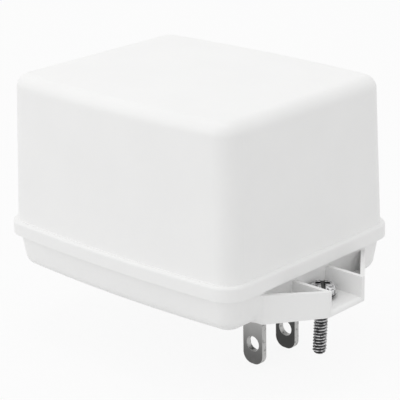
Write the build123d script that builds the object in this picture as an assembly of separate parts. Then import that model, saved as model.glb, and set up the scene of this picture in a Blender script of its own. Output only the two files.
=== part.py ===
from build123d import *
import math
import os

# Plug-in transformer with a screw ear, in millimetres.
# Origin: midway between the two blades, on the outlet face that lies against the wall plate.
# +X points along the case to the screw ear, +Y across it, +Z away from the wall.

# Plug blades, 15 A two-pole pattern
BLADE_PITCH = 12.7
BLADE_WIDTH = 6.35
BLADE_THICKNESS = 1.52
BLADE_REACH = 18.3
BLADE_TIP_ROUND = 2.7
BLADE_HOLE = 4.0
BLADE_HOLE_DROP = 12.8
BLADE_HOLE_BEVEL = 0.35
BLADE_SHOULDER = 9.4
BLADE_SHOULDER_HEIGHT = 1.6
BLADE_TAB = 3.6
TAB_WALL = 0.8
BLADE_SLOT_GAP = 0.1

# Mounting screw for the middle hole of a duplex wall plate, number 6
SCREW_X = 16.4
SCREW_DIAMETER = 3.5
SCREW_LENGTH = 16.0
SCREW_HEAD = 6.9
SCREW_HEAD_HEIGHT = 2.6
SCREW_HOLE_GAP = 0.3
SCREW_TIP_BEVEL = 0.5
SCREW_PROUD = 1.05
SCREW_TURN = 43.0
SCREW_LEAN = 2.4
DRIVE_SLOT = 1.0
DRIVE_SHARE = 0.55
CROSS_WIDTH = 1.1
CROSS_SPAN = 3.6
PAN_EDGE = 0.35
PAN_SHOULDER = (0.9, 0.76)
PAN_CROWN = (0.72, 0.94)

# Laminated core: legs, windows and yokes follow the leg width
LEG = 9.53
STACK = 25.4
BUNDLES = 8
CORE_HOLE = 4.0
CORE_PAST_BLADES = 2.4

# Winding bobbin, windings and wrap
BOBBIN_WALL = 1.0
BOBBIN_FLANGE = 1.0
BOBBIN_GAP = 0.3
WINDOW_GAP = 0.25
COIL_OVERHANG = 8.9
WINDING_GAP = 0.05
WINDING_BUILD = 6.5
WINDING_ROUND = 3.0
WRAP_INNER_ROUND = 2.6
FLANGE_ROUND = 1.0
WRAP = 0.35
PAD_MARGIN = 3.0
PAD = 2.6

# Case: walls, seams and the room left round the core
FLOOR = 2.6
COIL_LIFT = 0.9
PAD_GAP = 0.1
COVER_WALL = 2.2
BASE_WALL = 2.0
TERMINAL_END_SPACE = 4.95
SIDE_SPACE = 3.0
SCREW_TO_RIM = 1.55
SIDE_BOW = 1.75
BASE_DEPTH = 9.25
RIM_HEIGHT = 3.65
RIM_LEDGE = 1.2
RIM_OVERHANG = 1.75
RIM_EDGE_ROUND = 0.7
RIM_CORNER = 6.5
COVER_CORNER = 5.3
BASE_CORNER = 4.5
TOP_ROUND = 3.4
FACE_ROUND = 3.4
COVER_DRAFT = 1.78
BASE_DRAFT = 6.9
LAP_DEPTH = 1.75
LAP_GAP = 0.12
LAP_STEP = 0.15
LAP_ROOT = 0.5

# Screw ear moulded on the end of the base
EAR_PAST_SCREW = 7.7
EAR_TIP_WIDTH = 14.0
EAR_LINE_INSET = 12.7
EAR_NEUTRAL_INSET = 10.1
EAR_SHOULDER = 0.2
EAR_SHOULDER_ROUND = 1.5
EAR_ROOT_ROUND = 1.2
EAR_HEIGHT = 7.5
EAR_WALL = 1.1
EAR_FLOOR = 2.2
EAR_RISE = 0.9
EAR_LIP_ROUND = 1.0
EAR_TIP_ROUND = 0.6
INNER_ROUND = 1.0

# Posts, plinth and retainer inside the base
POST = 7.4
PILOT_DEPTH = 8.6
PILOT_TIP_GAP = 0.6
PLINTH = 1.0
PLINTH_MARGIN = 1.0
RETAINER = 2.2
RETAINER_MARGIN = 2.4
RETAINER_SCREW_BOSS = 5.4
RETAINER_SCREW = 2.2
RETAINER_SCREW_LENGTH = 4.6
RETAINER_SCREW_HEAD = 4.6
RETAINER_SCREW_HEAD_HEIGHT = 1.5
RETAINER_CORNER = 1.0
PILOT_FLOOR = 0.8
CARD = 0.4
CARD_MARGIN = 1.6
FIT_GAP = 0.05

# Core screws and washers
CORE_SCREW = 3.5
CORE_SCREW_ROOT = 2.8
CORE_SCREW_HEAD = 6.9
CORE_SCREW_HEAD_HEIGHT = 2.4
WASHER = 8.8
WASHER_THICKNESS = 0.8

# Leads and thermal fuse
LEAD = 1.8
LEAD_GAP = 0.6
LEAD_HOLE_GAP = 0.1
LEAD_END = 1.0
FUSE = 4.0
FUSE_LENGTH = 10.0
FUSE_WIRE = 1.0
FUSE_WIRE_LENGTH = 2.0
SLEEVE_WALL = 0.4
SLEEVE_PAST_FUSE = 1.0
FUSE_LIFT = 5.2
FUSE_BEVEL = 0.4
FUSE_TO_CORE = 0.2
BLADE_LEAD_OUT = 2.5
LEAD_BEND = 2.3
NEUTRAL_BEND = 1.7
COIL_LEAD_OUT = 3.6
COIL_LEAD_BEND = 2.9
UPPER_BEND = 5.4

# Margins of the cuts
CUT = 1.0
NEAR = 0.01

# Screw terminals in a shallow pocket of the end wall
POCKET_WIDTH = 24.0
POCKET_HEIGHT = 10.6
POCKET_DEPTH = 3.4
POCKET_FLOOR = 2.2
POCKET_SIDE = 2.0
POCKET_UNDER_TOP = 5.2
BARRIER = 1.6
TERMINAL_PLATE = 0.8
TERMINAL_WIDTH = 8.6
TERMINAL_HEIGHT = 8.4
TERMINAL_TAB = 4.0
TERMINAL_TAB_REACH = 4.9
TERMINAL_SCREW = 3.5
TERMINAL_HOLE_GAP = 0.25
TERMINAL_SCREW_LENGTH = 4.8
TERMINAL_SCREW_HEAD = 6.8
TERMINAL_SCREW_HEAD_HEIGHT = 2.1

# Heights above the outlet face
COIL_HEIGHT = STACK + 2 * COIL_OVERHANG
COIL_BOTTOM = FLOOR + COIL_LIFT
COIL_TOP = COIL_BOTTOM + COIL_HEIGHT
COVER_INSIDE_TOP = COIL_TOP + PAD + PAD_GAP
CASE_DEPTH = COVER_INSIDE_TOP + COVER_WALL
CORE_Z = COIL_BOTTOM + COIL_HEIGHT / 2
STACK_BOTTOM = CORE_Z - STACK / 2
STACK_TOP = CORE_Z + STACK / 2
RIM_TOP = BASE_DEPTH + RIM_HEIGHT
LAP_TOP = BASE_DEPTH + LAP_DEPTH
SEAT_Z = FLOOR + PLINTH
SHOULDER_TOP = SEAT_Z + BLADE_SHOULDER_HEIGHT
RETAINER_TOP = SHOULDER_TOP + RETAINER
LEAD_Z = RETAINER_TOP + LEAD_GAP + LEAD / 2
TAB_TOP = LEAD_Z + LEAD / 2 + LEAD_HOLE_GAP + TAB_WALL

# Core in plan
CORE_LENGTH = 6 * LEG
CORE_WIDTH = 5 * LEG
CORE_END_X = CORE_PAST_BLADES
CORE_X = CORE_END_X - CORE_LENGTH / 2
HOLE_DX = CORE_LENGTH / 2 - LEG / 2
HOLE_DY = CORE_WIDTH / 2 - LEG / 2
COIL_HALF_X = 2 * LEG - WINDOW_GAP
COIL_HALF_Y = 1.5 * LEG - WINDOW_GAP

# Rim in plan, drawn round the core
COVER_TAPER = math.tan(math.radians(COVER_DRAFT))
BASE_TAPER = math.tan(math.radians(BASE_DRAFT))
TOP_INSET = RIM_LEDGE + (CASE_DEPTH - RIM_TOP) * COVER_TAPER
RIM_NEAR_X = SCREW_X - SCREW_TO_RIM
RIM_FAR_X = CORE_END_X - CORE_LENGTH - TERMINAL_END_SPACE - COVER_WALL - TOP_INSET
RIM_HALF_WIDTH = CORE_WIDTH / 2 + SIDE_SPACE + COVER_WALL + TOP_INSET
FACE_INSET = RIM_OVERHANG + BASE_DEPTH * BASE_TAPER

# Terminal pocket in the far end wall
POCKET_Z = CASE_DEPTH - POCKET_UNDER_TOP - POCKET_HEIGHT / 2
WALL_X = RIM_FAR_X + RIM_LEDGE + (POCKET_Z - RIM_TOP) * COVER_TAPER
POCKET_FACE_X = WALL_X + POCKET_DEPTH
POCKET_BACK_X = POCKET_FACE_X + POCKET_FLOOR
TERMINAL_Y = (POCKET_WIDTH / 2 + BARRIER / 2) / 2
TERMINAL_TAB_Z = POCKET_Z + TERMINAL_HEIGHT / 2 - TERMINAL_PLATE / 2
TERMINAL_LEAD_X = POCKET_BACK_X + TERMINAL_TAB_REACH - LEAD

# Ear in plan, its two sides set in from the sides of the rim
EAR_LINE_SIDE = RIM_HALF_WIDTH - EAR_LINE_INSET
EAR_NEUTRAL_SIDE = RIM_HALF_WIDTH - EAR_NEUTRAL_INSET
EAR_TIP_X = SCREW_X + EAR_PAST_SCREW
EAR_RIB_Y = EAR_TIP_WIDTH / 2 - EAR_WALL / 2
EAR_ROOT_X = RIM_NEAR_X - RIM_OVERHANG
EAR_INNER_X = RIM_NEAR_X - FACE_INSET - FACE_ROUND
HEAD_Z = EAR_FLOOR + SCREW_PROUD


def housing_outline(inset, z):
    """Plan of the case at height z, its long sides bowed out, drawn inside the rim by inset."""
    x_far = RIM_FAR_X + inset
    x_near = RIM_NEAR_X - inset
    y_side = RIM_HALF_WIDTH - inset
    x_middle = (x_far + x_near) / 2
    edges = [
        ThreePointArc((x_far, -y_side), (x_middle, -y_side - SIDE_BOW), (x_near, -y_side)),
        Line((x_near, -y_side), (x_near, y_side)),
        ThreePointArc((x_near, y_side), (x_middle, y_side + SIDE_BOW), (x_far, y_side)),
        Line((x_far, y_side), (x_far, -y_side)),
    ]
    return Pos(0, 0, z) * make_face(edges)


def upright_edges(solid):
    """The four corner edges that run up the case, whatever its draft."""
    return solid.edges().filter_by(lambda edge: abs(edge.tangent_at(0.5).Z) > 0.9)


def tapered_block(low_inset, low_z, high_inset, high_z, corner):
    """Case-shaped block between two heights, its corners rounded."""
    sections = [housing_outline(low_inset, low_z), housing_outline(high_inset, high_z)]
    block = loft(sections, ruled=True)
    return fillet(upright_edges(block), corner)


def round_end(solid, z, radius):
    """Round the edge all the way round the end face at height z."""
    return fillet(solid.edges().filter_by_position(Axis.Z, z - NEAR, z + NEAR), radius)


def box_between(x_low, x_high, y_low, y_high, z_low, z_high):
    """Box given by its two faces along each axis."""
    size = (x_high - x_low, y_high - y_low, z_high - z_low)
    middle = ((x_low + x_high) / 2, (y_low + y_high) / 2, (z_low + z_high) / 2)
    return Pos(*middle) * Box(*size)


def post(x, y, z_low, z_high, diameter):
    """Upright cylinder between two heights."""
    return Pos(x, y, (z_low + z_high) / 2) * Cylinder(diameter / 2, z_high - z_low)


def pan_screw(diameter, length, head, head_height, slotted=True):
    """Screw pointing down, its head seated on z = 0, with a slot crossed by a recess."""
    head_edge = PAN_EDGE * head_height
    shoulder = (head / 2 * PAN_SHOULDER[0], head_height * PAN_SHOULDER[1])
    crown = (head / 2 * PAN_CROWN[0], head_height * PAN_CROWN[1])
    profile = make_face([
        Line((0, 0), (head / 2, 0)),
        Line((head / 2, 0), (head / 2, head_edge)),
        ThreePointArc((head / 2, head_edge), shoulder, crown),
        Line(crown, (0, head_height)),
        Line((0, head_height), (0, 0)),
    ])
    stem = Pos(0, 0, -length / 2) * Cylinder(diameter / 2, length)
    tip = stem.edges().filter_by_position(Axis.Z, -length - NEAR, -length + NEAR)
    screw = revolve(Plane.XZ * profile, Axis.Z) + chamfer(tip, min(SCREW_TIP_BEVEL, diameter / 5))
    low = head_height * (1 - DRIVE_SHARE)
    high = head_height + CUT
    slot = DRIVE_SLOT / 2
    if slotted:
        screw -= box_between(-slot, slot, -head, head, low, high)
    cross = CROSS_WIDTH / 2
    span = CROSS_SPAN / 2 * head / SCREW_HEAD
    screw -= box_between(-cross, cross, -span, span, low, high)
    return screw - box_between(-span, span, -cross, cross, low, high)


def make_cover():
    """Deep cover: tapered box, rim that laps over the base, and the terminal pocket."""
    body = tapered_block(RIM_LEDGE, RIM_TOP - CUT, TOP_INSET, CASE_DEPTH, COVER_CORNER)
    body = round_end(body, CASE_DEPTH, TOP_ROUND)
    rim = tapered_block(0, BASE_DEPTH, 0, RIM_TOP, RIM_CORNER)
    rim = round_end(rim, RIM_TOP, min(RIM_EDGE_ROUND, 0.8 * RIM_LEDGE))
    outside = body + rim

    inner_low = RIM_LEDGE + COVER_WALL
    inner_high = TOP_INSET + COVER_WALL
    inner_corner = max(COVER_CORNER - COVER_WALL, INNER_ROUND)
    inside = tapered_block(inner_low, BASE_DEPTH - CUT, inner_high, COVER_INSIDE_TOP, inner_corner)
    inside = round_end(inside, COVER_INSIDE_TOP, max(TOP_ROUND - COVER_WALL, INNER_ROUND / 2))
    lap_inset = RIM_OVERHANG + LAP_STEP - LAP_GAP
    lap = tapered_block(lap_inset, BASE_DEPTH - CUT, lap_inset, LAP_TOP, BASE_CORNER)
    cover = outside - inside - lap

    half = POCKET_WIDTH / 2
    outer_x = RIM_FAR_X - CUT
    pocket_low = POCKET_Z - POCKET_HEIGHT / 2
    pocket_high = POCKET_Z + POCKET_HEIGHT / 2
    shroud = box_between(
        outer_x, POCKET_BACK_X, -half - POCKET_SIDE, half + POCKET_SIDE,
        pocket_low - POCKET_SIDE, COVER_INSIDE_TOP + COVER_WALL / 2,
    )
    cover += shroud & body
    recess = box_between(outer_x, POCKET_FACE_X, -half, half, pocket_low, pocket_high)
    recess -= box_between(
        outer_x, POCKET_FACE_X, -BARRIER / 2, BARRIER / 2, pocket_low, pocket_high
    )
    cover -= recess
    for side in (-1, 1):
        y = side * TERMINAL_Y
        hole = Pos(POCKET_BACK_X, y, POCKET_Z) * Rot(0, 90, 0)
        cover -= hole * Cylinder(TERMINAL_SCREW / 2 + TERMINAL_HOLE_GAP, 4 * POCKET_FLOOR)
        tab_half = TERMINAL_TAB / 2 + LEAD_HOLE_GAP
        slot_half = TERMINAL_PLATE / 2 + LEAD_HOLE_GAP
        cover -= box_between(
            POCKET_FACE_X - CUT, POCKET_BACK_X + CUT, y - tab_half, y + tab_half,
            TERMINAL_TAB_Z - slot_half, TERMINAL_TAB_Z + slot_half,
        )
    return cover


def ear_plan():
    """Plan of the ear: straight at its root, then slanted in to the tip, a little more on one side."""
    tip = EAR_TIP_WIDTH / 2
    shoulder_x = EAR_ROOT_X + EAR_SHOULDER
    outline = Polyline(
        (EAR_INNER_X, -EAR_LINE_SIDE), (shoulder_x, -EAR_LINE_SIDE), (EAR_TIP_X, -tip),
        (EAR_TIP_X, tip), (shoulder_x, EAR_NEUTRAL_SIDE), (EAR_INNER_X, EAR_NEUTRAL_SIDE),
        (EAR_INNER_X, -EAR_LINE_SIDE),
    )
    plan = make_face(outline)
    shoulders = plan.vertices().filter_by_position(Axis.X, shoulder_x - NEAR, shoulder_x + NEAR)
    return fillet(shoulders, EAR_SHOULDER_ROUND)


def make_ear_block():
    """Outside of the ear, its underside rising a little towards the tip."""
    block = extrude(ear_plan(), EAR_HEIGHT)
    tip_corners = block.edges().filter_by(Axis.Z).group_by(Axis.X)[-1]
    block = fillet(tip_corners, EAR_TIP_ROUND)
    past_tip = EAR_TIP_X + CUT
    underside = Polyline(
        (EAR_ROOT_X, 0), (EAR_TIP_X, EAR_RISE), (past_tip, EAR_RISE),
        (past_tip, -CUT), (EAR_ROOT_X, -CUT), (EAR_ROOT_X, 0),
    )
    width = EAR_LINE_SIDE + EAR_NEUTRAL_SIDE
    return block - extrude(Plane.XZ * make_face(underside), width, both=True)


def is_root_edge(edge):
    """Whether an edge runs up the end wall of the base where a side of the ear meets it."""
    middle = edge.position_at(0.5)
    off_side = min(abs(middle.Y + EAR_LINE_SIDE), abs(middle.Y - EAR_NEUTRAL_SIDE))
    upright = NEAR < middle.Z < EAR_HEIGHT - NEAR and edge.geom_type != GeomType.LINE
    return upright and off_side < EAR_SHOULDER_ROUND / 2 and middle.X < EAR_ROOT_X


def add_ear(tray):
    """Join the ear to the base: floor, two outer walls and two straight ribs."""
    solid = tray + make_ear_block()
    solid = fillet(solid.edges().filter_by(is_root_edge), EAR_ROOT_ROUND)
    inner_plan = offset(ear_plan(), -EAR_WALL, kind=Kind.INTERSECTION)
    solid -= Pos(0, 0, EAR_FLOOR) * extrude(inner_plan, EAR_HEIGHT) - tray

    rib_half = EAR_WALL / 2
    rib_end_x = EAR_TIP_X - EAR_TIP_ROUND
    for y in (-EAR_RIB_Y, EAR_RIB_Y):
        solid += box_between(
            EAR_ROOT_X - BASE_WALL, rib_end_x, y - rib_half, y + rib_half,
            EAR_FLOOR / 2, EAR_HEIGHT,
        )
    past_tip = EAR_TIP_X + CUT
    mouth = EAR_RIB_Y - rib_half
    solid -= box_between(
        EAR_TIP_X - 3 * EAR_WALL, past_tip, -mouth, mouth, EAR_FLOOR, EAR_HEIGHT + CUT
    )
    lip_x = EAR_TIP_X - EAR_LIP_ROUND
    lip_z = EAR_FLOOR - EAR_LIP_ROUND
    lip = box_between(lip_x, past_tip, -mouth, mouth, lip_z, EAR_FLOOR + CUT)
    lip -= Pos(lip_x, 0, lip_z) * Rot(90, 0, 0) * Cylinder(EAR_LIP_ROUND, 3 * mouth)
    return solid - lip


def make_base():
    """Shallow base: sloped tray, ear, blade plinth, screw boss and core posts."""
    tray = tapered_block(FACE_INSET, 0, RIM_OVERHANG, BASE_DEPTH, BASE_CORNER)
    solid = add_ear(round_end(tray, 0, FACE_ROUND))
    lap_inset = RIM_OVERHANG + LAP_STEP
    lap_root = BASE_DEPTH - LAP_ROOT
    solid += tapered_block(lap_inset, lap_root, lap_inset, LAP_TOP, BASE_CORNER)

    inner_corner = max(BASE_CORNER - BASE_WALL, INNER_ROUND)
    low_inset = FACE_INSET + BASE_WALL - FLOOR * BASE_TAPER
    high_inset = RIM_OVERHANG + BASE_WALL
    inside = tapered_block(low_inset, FLOOR, high_inset, BASE_DEPTH, inner_corner)
    inside = round_end(inside, FLOOR, max(FACE_ROUND - BASE_WALL, INNER_ROUND / 2))
    lip_inset = high_inset + LAP_STEP
    inside += tapered_block(lip_inset, lap_root, lip_inset, LAP_TOP + CUT, inner_corner)
    base = solid - inside

    plinth_half_x = BLADE_SHOULDER / 2 + PLINTH_MARGIN
    plinth_half_y = BLADE_PITCH / 2 + BLADE_THICKNESS / 2 + PLINTH_MARGIN
    base += box_between(
        -plinth_half_x, plinth_half_x, -plinth_half_y, plinth_half_y, FLOOR / 2, SEAT_Z
    )
    base += post(0, 0, FLOOR / 2, SHOULDER_TOP, RETAINER_SCREW_BOSS)
    base -= post(0, 0, PILOT_FLOOR, CASE_DEPTH, RETAINER_SCREW + 2 * FIT_GAP)

    for side_x, post_top in ((-1, STACK_BOTTOM), (1, STACK_BOTTOM - CARD)):
        for side_y in (-1, 1):
            x = CORE_X + side_x * HOLE_DX
            y = side_y * HOLE_DY
            base += post(x, y, FLOOR / 2, post_top, POST)
            pilot_low = post_top - PILOT_DEPTH
            base -= post(x, y, pilot_low, CASE_DEPTH, CORE_SCREW_ROOT + 2 * FIT_GAP)

    slot_x = BLADE_WIDTH / 2 + BLADE_SLOT_GAP
    slot_y = BLADE_THICKNESS / 2 + BLADE_SLOT_GAP
    for y in (-BLADE_PITCH / 2, BLADE_PITCH / 2):
        base -= box_between(-slot_x, slot_x, y - slot_y, y + slot_y, -CUT, SEAT_Z + CUT)
    base -= post(SCREW_X, 0, -CUT, EAR_FLOOR + CUT, SCREW_DIAMETER + 2 * SCREW_HOLE_GAP)
    return base


def make_blade(y):
    """Flat blade with a round tip, shoulders that sit on the plinth, and a solder tab."""
    half = BLADE_WIDTH / 2
    middle = BLADE_THICKNESS / 2
    shoulder = BLADE_SHOULDER / 2
    tab = BLADE_TAB / 2
    outline = Polyline(
        (half, SEAT_Z), (shoulder, SEAT_Z), (shoulder, SHOULDER_TOP), (tab, SHOULDER_TOP),
        (tab, TAB_TOP), (-tab, TAB_TOP), (-tab, SHOULDER_TOP), (-shoulder, SHOULDER_TOP),
        (-shoulder, SEAT_Z), (-half, SEAT_Z), (-half, -BLADE_REACH), (half, -BLADE_REACH),
        (half, SEAT_Z),
    )
    face = make_face(outline)
    tip = face.vertices().filter_by_position(Axis.Y, -BLADE_REACH - NEAR, -BLADE_REACH + NEAR)
    face = fillet(tip, min(BLADE_TIP_ROUND, 0.45 * BLADE_WIDTH))
    blade = extrude(Plane.XZ * face, middle, both=True)
    across = Rot(90, 0, 0)
    hole = Pos(0, 0, -BLADE_HOLE_DROP) * across
    blade -= hole * Cylinder(BLADE_HOLE / 2, 2 * BLADE_THICKNESS)
    for side in (-1, 1):
        bevel = Pos(0, side * middle, -BLADE_HOLE_DROP) * Rot(-90 * side, 0, 0)
        blade -= bevel * Cone(
            BLADE_HOLE / 2 - BLADE_HOLE_BEVEL, BLADE_HOLE / 2 + BLADE_HOLE_BEVEL,
            2 * BLADE_HOLE_BEVEL,
        )
    wire_hole = Pos(0, 0, LEAD_Z) * across
    blade -= wire_hole * Cylinder(LEAD / 2 + LEAD_HOLE_GAP, 2 * BLADE_THICKNESS)
    return Pos(0, y, 0) * blade


def make_retainer():
    """Moulded bar that holds both blades down by their shoulders."""
    half_x = BLADE_SHOULDER / 2 + RETAINER_MARGIN / 4
    half_y = BLADE_PITCH / 2 + BLADE_THICKNESS / 2 + RETAINER_MARGIN
    bar = box_between(-half_x, half_x, -half_y, half_y, SHOULDER_TOP, RETAINER_TOP)
    corners = bar.edges().filter_by(Axis.Z)
    bar = fillet(corners, RETAINER_CORNER)
    tab_x = BLADE_TAB / 2 + BLADE_SLOT_GAP
    tab_y = BLADE_THICKNESS / 2 + BLADE_SLOT_GAP
    for y in (-BLADE_PITCH / 2, BLADE_PITCH / 2):
        bar -= box_between(-tab_x, tab_x, y - tab_y, y + tab_y, SHOULDER_TOP - CUT, CASE_DEPTH)
    return bar - post(0, 0, 0, CASE_DEPTH, RETAINER_SCREW + 6 * FIT_GAP)


def make_retainer_screw():
    """Short screw through the retainer into its boss, drawn at its thread's root."""
    screw = pan_screw(
        RETAINER_SCREW, RETAINER_SCREW_LENGTH, RETAINER_SCREW_HEAD, RETAINER_SCREW_HEAD_HEIGHT,
        slotted=False,
    )
    return Pos(0, 0, RETAINER_TOP) * screw


def core_holes():
    """Centres of the four corner holes of the core."""
    return [
        (CORE_X + side_x * HOLE_DX, side_y * HOLE_DY)
        for side_x in (-1, 1)
        for side_y in (-1, 1)
    ]


def make_laminations():
    """The E and the I bundles of the core, laid with their joints on alternate sides."""
    bundle = STACK / BUNDLES
    x_low = CORE_X - CORE_LENGTH / 2
    x_high = CORE_X + CORE_LENGTH / 2
    y_half = CORE_WIDTH / 2
    leg_tip = y_half - LEG
    e_bundles = []
    i_bundles = []
    for layer in range(BUNDLES):
        z_low = STACK_BOTTOM + layer * bundle
        z_high = z_low + bundle
        e_piece = box_between(x_low, x_high, -y_half, leg_tip, z_low, z_high)
        for side in (-1, 1):
            window_x = CORE_X + side * 1.5 * LEG
            e_piece -= box_between(
                window_x - LEG / 2, window_x + LEG / 2, LEG - y_half, leg_tip + CUT,
                z_low - CUT, z_high + CUT,
            )
        i_piece = box_between(x_low, x_high, leg_tip, y_half, z_low, z_high)
        if layer % 2:
            e_piece = mirror(e_piece, Plane.XZ)
            i_piece = mirror(i_piece, Plane.XZ)
        for x, y in core_holes():
            drill = post(x, y, z_low - CUT, z_high + CUT, CORE_HOLE)
            e_piece -= drill
            i_piece -= drill
        e_bundles.append(e_piece)
        i_bundles.append(i_piece)
    return Compound(children=e_bundles), Compound(children=i_bundles)


def make_bobbin():
    """Moulded former round the middle leg, with two end flanges and a divider."""
    hole_x = LEG + BOBBIN_GAP
    hole_z = STACK / 2 + BOBBIN_GAP
    tube_x = hole_x + BOBBIN_WALL
    tube_z = hole_z + BOBBIN_WALL
    length = 2 * COIL_HALF_Y
    tube = Box(2 * tube_x, length, 2 * tube_z)
    bobbin = tube
    for y in (-COIL_HALF_Y + BOBBIN_FLANGE / 2, 0, COIL_HALF_Y - BOBBIN_FLANGE / 2):
        bobbin += Pos(0, y, 0) * Box(2 * COIL_HALF_X, BOBBIN_FLANGE, COIL_HEIGHT)
    bobbin = fillet(bobbin.edges().filter_by(Axis.Y).group_by(SortBy.LENGTH)[0], FLANGE_ROUND)
    bobbin -= Box(2 * hole_x, length + CUT, 2 * hole_z)
    return Pos(CORE_X, 0, CORE_Z) * bobbin


def coil_ring(y_low, y_high, start, build):
    """Rounded ring round the bobbin between two planes, from start outwards by build."""
    half_x = LEG + BOBBIN_GAP + BOBBIN_WALL + start
    half_z = STACK / 2 + BOBBIN_GAP + BOBBIN_WALL + start
    outer = Box(2 * (half_x + build), y_high - y_low, 2 * (half_z + build))
    outer = fillet(outer.edges().filter_by(Axis.Y), WINDING_ROUND)
    inner = Box(2 * half_x, y_high - y_low + CUT, 2 * half_z)
    if start > WINDING_BUILD / 2:
        inner = fillet(inner.edges().filter_by(Axis.Y), WRAP_INNER_ROUND)
    return Pos(CORE_X, (y_low + y_high) / 2, CORE_Z) * (outer - inner)


def winding_bay(side):
    """The two planes across the case between which one winding lies."""
    near = BOBBIN_FLANGE / 2 + WINDING_GAP
    far = COIL_HALF_Y - BOBBIN_FLANGE - WINDING_GAP
    return (near, far) if side > 0 else (-far, -near)


def make_winding(side):
    """Copper winding that fills its half of the bobbin."""
    y_low, y_high = winding_bay(side)
    return coil_ring(y_low, y_high, WINDING_GAP, WINDING_BUILD)


def make_wrap(side):
    """Tape wrapped over one winding."""
    y_low, y_high = winding_bay(side)
    return coil_ring(y_low, y_high, 2 * WINDING_GAP + WINDING_BUILD, WRAP)


def make_top_pad():
    """Soft pad between the coil and the inside of the cover."""
    half_x = COIL_HALF_X - PAD_MARGIN
    return box_between(
        CORE_X - half_x, CORE_X + half_x, -COIL_HALF_Y, COIL_HALF_Y, COIL_TOP, COIL_TOP + PAD
    )


def make_card():
    """Insulating card between the blade tabs and the core, held under two core corners."""
    x_low = CORE_END_X - LEG
    card = box_between(
        x_low, CORE_END_X + CARD_MARGIN, -CORE_WIDTH / 2, CORE_WIDTH / 2,
        STACK_BOTTOM - CARD, STACK_BOTTOM,
    )
    for side in (-1, 1):
        card -= post(CORE_X + HOLE_DX, side * HOLE_DY, 0, CASE_DEPTH, CORE_HOLE)
    return card


def make_core_screws():
    """Four long screws through the core into the posts of the base."""
    head_z = STACK_TOP + WASHER_THICKNESS
    screws = []
    for x, y in core_holes():
        post_top = STACK_BOTTOM if x < CORE_X else STACK_BOTTOM - CARD
        screw = pan_screw(
            CORE_SCREW, head_z - post_top, CORE_SCREW_HEAD, CORE_SCREW_HEAD_HEIGHT,
            slotted=False,
        )
        root_low = post_top - PILOT_DEPTH + PILOT_TIP_GAP
        screw = Pos(x, y, head_z) * screw
        screws.append(screw + post(x, y, root_low, post_top + CUT, CORE_SCREW_ROOT))
    return Compound(children=screws)


def make_core_washers():
    """Flat washers under the heads of the core screws."""
    washers = []
    for x, y in core_holes():
        disc = post(x, y, STACK_TOP, STACK_TOP + WASHER_THICKNESS, WASHER)
        washers.append(disc - post(x, y, 0, CASE_DEPTH, CORE_HOLE))
    return Compound(children=washers)


def make_lead(points, radii):
    """Insulated wire of straight runs joined by tangent arcs."""
    path = FilletPolyline(*points, radius=radii)
    section = Plane(origin=path @ 0, z_dir=path % 0) * Circle(LEAD / 2)
    return sweep(section, path=path)


def blade_lead_start(side):
    """First points of a lead: through its blade's tab, then out past the retainer."""
    tab_y = BLADE_PITCH / 2
    turn_y = tab_y + BLADE_THICKNESS / 2 + BLADE_LEAD_OUT
    inner_y = tab_y - BLADE_THICKNESS / 2 - LEAD_END
    return [(0, side * inner_y, LEAD_Z), (0, side * turn_y, LEAD_Z)]


def fuse_place():
    """Axis of the thermal fuse, upright against the end of the core, and its two ends."""
    x = CORE_END_X + FUSE / 2 + SLEEVE_WALL + FIT_GAP + FUSE_TO_CORE
    y = blade_lead_start(-1)[1][1]
    z_low = STACK_BOTTOM + FUSE_LIFT
    return x, y, z_low, z_low + FUSE_LENGTH + 2 * FUSE_WIRE_LENGTH


def make_line_lead():
    """Lead from the line blade to the lower wire of the fuse."""
    x, y, z_low, _ = fuse_place()
    points = blade_lead_start(-1) + [(x, y, LEAD_Z), (x, y, z_low)]
    return make_lead(points, [LEAD_BEND, LEAD_BEND])


def make_fuse():
    """Thermal fuse: body and its two straight wires."""
    x, y, z_low, z_high = fuse_place()
    body = post(x, y, z_low + FUSE_WIRE_LENGTH, z_high - FUSE_WIRE_LENGTH, FUSE)
    body = chamfer(body.edges().filter_by(GeomType.CIRCLE), FUSE_BEVEL)
    return body + post(x, y, z_low, z_high, FUSE_WIRE)


def make_sleeve():
    """Insulating sleeve over the fuse."""
    x, y, z_low, z_high = fuse_place()
    bottom = z_low + FUSE_WIRE_LENGTH - SLEEVE_PAST_FUSE
    top = z_high - FUSE_WIRE_LENGTH + SLEEVE_PAST_FUSE
    outside = post(x, y, bottom, top, FUSE + 2 * SLEEVE_WALL + 2 * FIT_GAP)
    return outside - post(x, y, bottom - CUT, top + CUT, FUSE + 2 * FIT_GAP)


def wrap_face_x(side):
    """Outer face of the wrap on one side of the coil."""
    half = LEG + BOBBIN_GAP + BOBBIN_WALL + 2 * WINDING_GAP + WINDING_BUILD + WRAP
    return CORE_X + side * half


def lead_exit_z():
    """Height at which the leads leave the coil, in the free space above the core."""
    return STACK_TOP + WASHER_THICKNESS + CORE_SCREW_HEAD_HEIGHT + LEAD_GAP


def make_fuse_lead():
    """Lead from the upper wire of the fuse to the primary winding."""
    x, y, _, z_high = fuse_place()
    z = lead_exit_z()
    return make_lead([(x, y, z_high), (x, y, z), (wrap_face_x(1), y, z)], [COIL_LEAD_OUT])


def make_neutral_lead():
    """Lead from the neutral blade, up past the end of the core, to the primary winding."""
    x = CORE_END_X + COIL_LEAD_OUT
    start = blade_lead_start(1)
    y = start[1][1]
    end_y = -BOBBIN_FLANGE / 2 - COIL_LEAD_OUT
    z = lead_exit_z()
    points = start + [
        (x, y, LEAD_Z),
        (x, y, STACK_TOP - COIL_LEAD_OUT),
        (x, end_y, z),
        (wrap_face_x(1), end_y, z),
    ]
    return make_lead(points, [NEUTRAL_BEND, NEUTRAL_BEND, UPPER_BEND, COIL_LEAD_BEND])


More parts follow.
